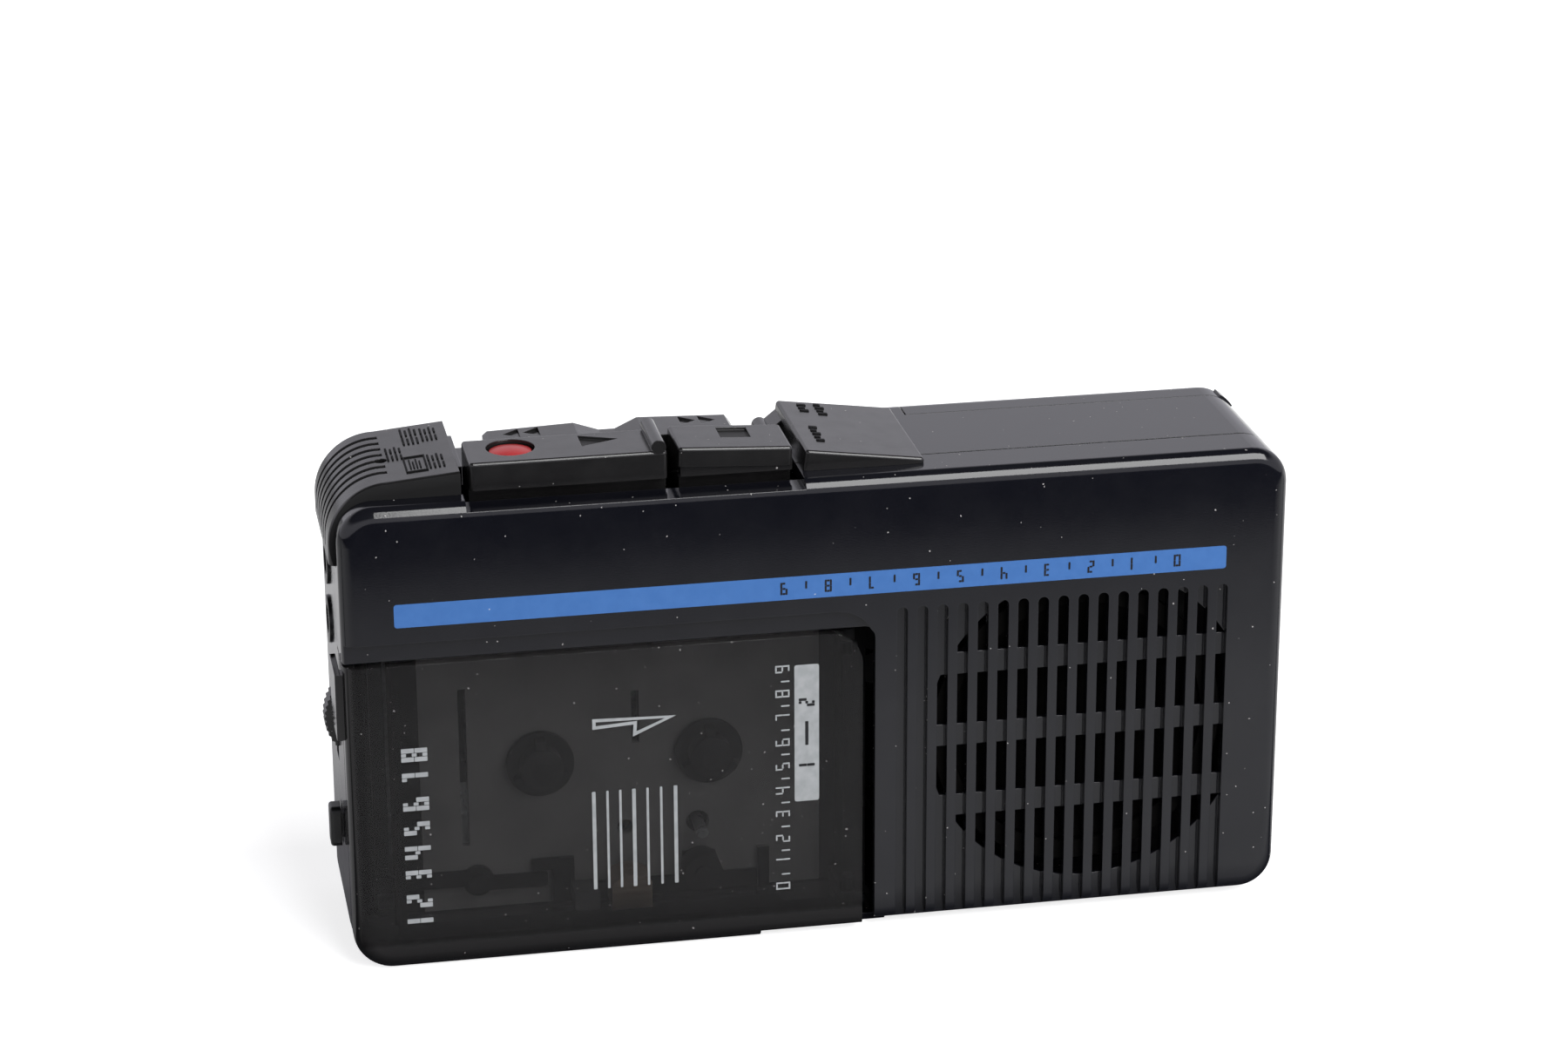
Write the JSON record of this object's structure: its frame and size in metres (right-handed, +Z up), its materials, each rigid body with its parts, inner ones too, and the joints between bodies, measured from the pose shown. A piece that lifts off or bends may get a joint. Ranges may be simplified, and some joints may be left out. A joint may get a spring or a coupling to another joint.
{
  "type": "microcassette recorder",
  "caption": "Handheld microcassette recorder with smoked hinged cassette door, speaker grille, piano keys, cue lever, volume wheel and a geared, belt driven tape drive inside.",
  "frame": {"origin": "middle of the base it stands on, at the centre of the bounding box", "axes": "+X along the length towards the speaker end, +Y from the face to the back, +Z up to the keys"},
  "size_m": [0.1196, 0.028, 0.0657],
  "materials": {
    "shell": "satin moulded",
    "matte": "fine matte grain",
    "smoke": "smoked clear plastic",
    "red": "satin moulded",
    "steel": "plain",
    "nylon": "plain",
    "brass": "plain",
    "rubber": "plain",
    "board": "lacquered",
    "black_parts": "plain",
    "paper": "pressed paper",
    "ferrite": "sintered",
    "head_metal": "ground"
  },
  "bodies": {
    "case": {"front_case": "shell", "back_case": "shell", "hinge_pins": "steel", "mic_cap": "matte", "mic_capsule": "steel", "thumb_rest": "matte", "rocker_pin": "steel", "key_guide": "matte", "play_spring": "steel", "stop_spring": "steel", "volume_pot": "matte", "speed_switch": "matte", "ear_jack": "black_parts", "mic_jack": "black_parts", "bay_tray": "matte", "chassis_plate": "steel", "chassis_screws": "steel", "spindle_bushes": "brass", "idler_post": "steel", "capstan_bearing": "brass", "flywheel_bracket": "steel", "motor": "steel", "drive_belt": "rubber", "circuit_board": "board", "board_components": "black_parts", "speaker_frame": "black_parts", "speaker_cone": "paper", "speaker_magnet": "ferrite", "battery_box": "matte", "battery_springs": "steel", "battery_plates": "steel", "case_screws": "steel"},
    "door": {"cassette_door": "smoke"},
    "cover": {"battery_cover": "shell"},
    "play": {"play_key": "matte", "play_pushrod": "steel"},
    "record": {"record_button": "red"},
    "stop": {"stop_key": "matte"},
    "lever": {"cue_lever": "matte"},
    "volume": {"volume_wheel": "matte"},
    "speed": {"speed_knob": "black_parts"},
    "rocker": {"play_rocker": "steel"},
    "bridge": {"head_bridge": "steel", "tape_head": "head_metal", "erase_head": "ferrite", "pinch_pin": "steel"},
    "roller": {"pinch_roller": "rubber"},
    "supply": {"supply_spindle": "black_parts", "supply_gear": "nylon"},
    "takeup": {"takeup_spindle": "black_parts", "takeup_gear": "nylon"},
    "idler": {"idler_gear": "nylon"},
    "capstan": {"capstan_shaft": "steel", "capstan_pinion": "nylon", "flywheel": "brass"},
    "rotor": {"motor_shaft": "steel", "motor_pulley": "brass"}
  },
  "joints": [
    {"name": "door_swing", "type": "hinge", "parent": "case", "child": "door", "pos_m": [0.00435, -0.011, 0.02], "axis": [0, 0, 1], "range_deg": [0, 75]},
    {"name": "cover_slide", "type": "slide", "parent": "case", "child": "cover", "axis": [1, 0, 0], "range_m": [0, 0.048]},
    {"name": "play_press", "type": "slide", "parent": "case", "child": "play", "axis": [0, 0, -1], "range_m": [0, 0.003], "stiffness_N_per_m": 250, "springref_m": -0.001, "deforming": ["play_spring"]},
    {"name": "record_press", "type": "slide", "parent": "play", "child": "record", "axis": [0, 0, -1], "range_m": [0, 0.0015], "stiffness_N_per_m": 200, "springref_m": -0.0005},
    {"name": "stop_press", "type": "slide", "parent": "case", "child": "stop", "axis": [0, 0, -1], "range_m": [0, 0.003], "stiffness_N_per_m": 250, "springref_m": -0.001, "deforming": ["stop_spring"]},
    {"name": "lever_slide", "type": "slide", "parent": "case", "child": "lever", "axis": [1, 0, 0], "range_m": [-0.002, 0.002], "stiffness_N_per_m": 200},
    {"name": "volume_turn", "type": "hinge", "parent": "case", "child": "volume", "pos_m": [-0.0538, 0.0006, 0.029], "axis": [0, 1, 0], "range_deg": [-135, 135]},
    {"name": "speed_slide", "type": "slide", "parent": "case", "child": "speed", "axis": [0, 0, 1], "range_m": [-0.0011, 0.0011]},
    {"name": "rocker_tilt", "type": "hinge", "parent": "case", "child": "rocker", "pos_m": [-0.0417, -0.0045, 0.007], "axis": [0, -1, 0], "range_deg": [0, 14.4]},
    {"name": "head_slide", "type": "slide", "parent": "case", "child": "bridge", "axis": [0, 0, 1], "range_m": [0, 0.002]},
    {"name": "roller_spin", "type": "hinge", "parent": "bridge", "child": "roller", "pos_m": [-0.0135, -0.0065, 0.00715], "axis": [0, 1, 0], "continuous": true},
    {"name": "supply_spin", "type": "hinge", "parent": "case", "child": "supply", "pos_m": [-0.0335, -0.005, 0.0223], "axis": [0, 1, 0], "continuous": true},
    {"name": "capstan_spin", "type": "hinge", "parent": "case", "child": "capstan", "pos_m": [-0.0135, 0.001, 0.0124], "axis": [0, 1, 0], "continuous": true},
    {"name": "takeup_spin", "type": "hinge", "parent": "case", "child": "takeup", "pos_m": [-0.0121, -0.005, 0.0223], "axis": [0, 1, 0], "continuous": true},
    {"name": "idler_spin", "type": "hinge", "parent": "case", "child": "idler", "pos_m": [-0.00347, -0.0006, 0.01317], "axis": [0, 1, 0], "continuous": true},
    {"name": "motor_spin", "type": "hinge", "parent": "case", "child": "rotor", "pos_m": [-0.0432, 0.007, 0.0114], "axis": [0, 1, 0], "continuous": true}
  ],
  "couplings": [
    {"joint": "rocker_tilt", "follows": "play_press", "rad_per_m": 83.333},
    {"joint": "head_slide", "follows": "play_press", "ratio": 0.6666},
    {"joint": "takeup_spin", "follows": "capstan_spin", "ratio": 0.54546},
    {"joint": "idler_spin", "follows": "capstan_spin", "ratio": -0.42857},
    {"joint": "motor_spin", "follows": "capstan_spin", "ratio": 3.7347}
  ]
}
